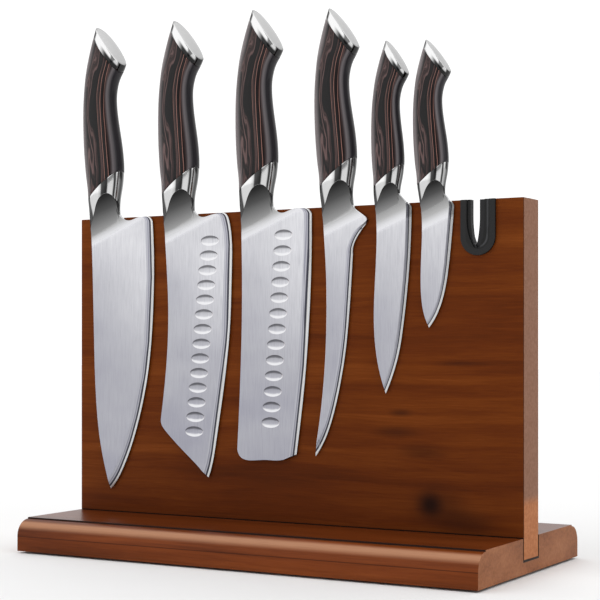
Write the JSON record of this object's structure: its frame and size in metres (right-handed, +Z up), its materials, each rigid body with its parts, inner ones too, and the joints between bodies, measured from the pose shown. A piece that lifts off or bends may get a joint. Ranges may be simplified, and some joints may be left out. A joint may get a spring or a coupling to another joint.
{
  "type": "knife magnetic rack",
  "caption": "Upright wooden knife rack: a magnetic board on a grooved base, holding kitchen knives by their blades, with a lift-out sharpening insert.",
  "frame": {"origin": "on the ground under the middle of the base", "axes": "+X along the board to the sharpening insert's end, -Y is the front that holds the knives, +Z up"},
  "size_m": [0.355, 0.173, 0.384],
  "materials": {
    "stained_wood": "stained reddish brown, satin lacquer",
    "magnet": "nickel plated",
    "zinc_steel": "zinc plated",
    "foot_rubber": "matte",
    "black_plastic": "satin moulded",
    "dark_ceramic": "fine matte grey",
    "blade_steel": "satin ground along the blade",
    "polished_steel": "mirror polished",
    "grip_wood": "glossy laminated wood"
  },
  "bodies": {
    "rack": {"base_plate": "stained_wood", "front_panel": "stained_wood", "rear_panel": "stained_wood", "front_magnets": "magnet", "base_screws": "zinc_steel", "rubber_feet": "foot_rubber"},
    "sharpener": {"sharpener_front_frame": "black_plastic", "sharpener_rear_frame": "black_plastic", "sharpener_guide": "dark_ceramic", "sharpener_stone": "dark_ceramic"},
    "chef_knife": {"chef_blade": "blade_steel", "chef_bolster": "polished_steel", "chef_grip": "grip_wood", "chef_butt_cap": "polished_steel"},
    "santoku_knife": {"santoku_blade": "blade_steel", "santoku_bolster": "polished_steel", "santoku_grip": "grip_wood", "santoku_butt_cap": "polished_steel"},
    "nakiri_knife": {"nakiri_blade": "blade_steel", "nakiri_bolster": "polished_steel", "nakiri_grip": "grip_wood", "nakiri_butt_cap": "polished_steel"},
    "boning_knife": {"boning_blade": "blade_steel", "boning_bolster": "polished_steel", "boning_grip": "grip_wood", "boning_butt_cap": "polished_steel"},
    "utility_knife": {"utility_blade": "blade_steel", "utility_bolster": "polished_steel", "utility_grip": "grip_wood", "utility_butt_cap": "polished_steel"},
    "paring_knife": {"paring_blade": "blade_steel", "paring_bolster": "polished_steel", "paring_grip": "grip_wood", "paring_butt_cap": "polished_steel"}
  },
  "joints": [
    {"name": "sharpener_lift", "type": "slide", "parent": "rack", "child": "sharpener", "axis": [0, 0, 1], "range_m": [0, 0.045]},
    {"name": "chef_pull", "type": "slide", "parent": "rack", "child": "chef_knife", "axis": [0, -1, 0], "range_m": [0, 0.15]},
    {"name": "santoku_pull", "type": "slide", "parent": "rack", "child": "santoku_knife", "axis": [0, -1, 0], "range_m": [0, 0.15]},
    {"name": "nakiri_pull", "type": "slide", "parent": "rack", "child": "nakiri_knife", "axis": [0, -1, 0], "range_m": [0, 0.15]},
    {"name": "boning_pull", "type": "slide", "parent": "rack", "child": "boning_knife", "axis": [0, -1, 0], "range_m": [0, 0.15]},
    {"name": "utility_pull", "type": "slide", "parent": "rack", "child": "utility_knife", "axis": [0, -1, 0], "range_m": [0, 0.15]},
    {"name": "paring_pull", "type": "slide", "parent": "rack", "child": "paring_knife", "axis": [0, -1, 0], "range_m": [0, 0.15]}
  ]
}
